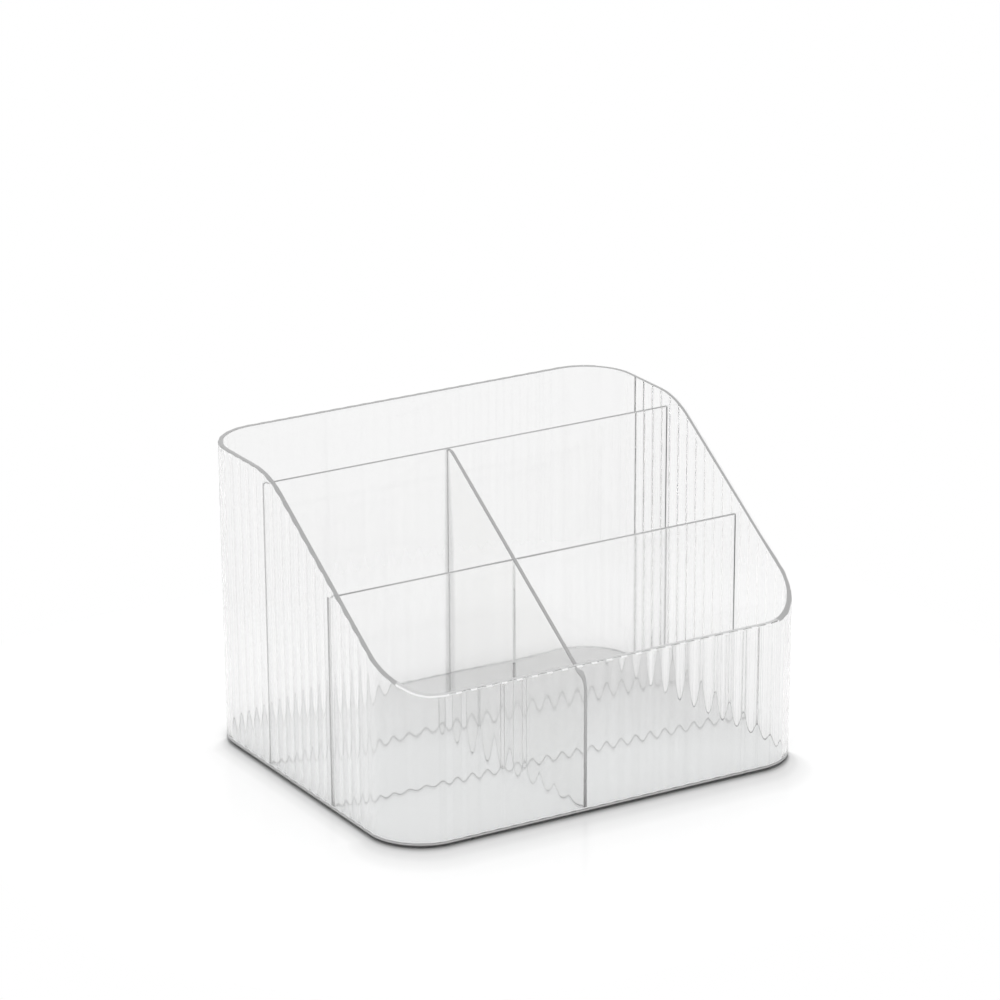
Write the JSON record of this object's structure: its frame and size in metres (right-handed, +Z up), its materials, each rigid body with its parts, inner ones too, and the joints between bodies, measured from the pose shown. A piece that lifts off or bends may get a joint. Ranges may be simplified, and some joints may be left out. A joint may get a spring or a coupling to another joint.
{
  "type": "utensil organizer",
  "caption": "Clear fluted plastic organizer with a sloping rim, open compartments and upright dividers for utensils, pens or cosmetics.",
  "frame": {"origin": "middle of the underside, on the surface that the organizer stands on", "axes": "+Z up, -Y towards the low front wall, +X to the right seen from the front"},
  "size_m": [0.19, 0.1576, 0.1254],
  "materials": {
    "clear_base": "clear, glossy",
    "clear_wall": "clear, glossy, fluted outside",
    "clear_divider": "clear, glossy"
  },
  "bodies": {
    "root": {"base_plate": "clear_base", "fluted_wall": "clear_wall", "rear_divider": "clear_divider", "front_divider": "clear_divider", "centre_divider": "clear_divider"}
  },
  "joints": []
}
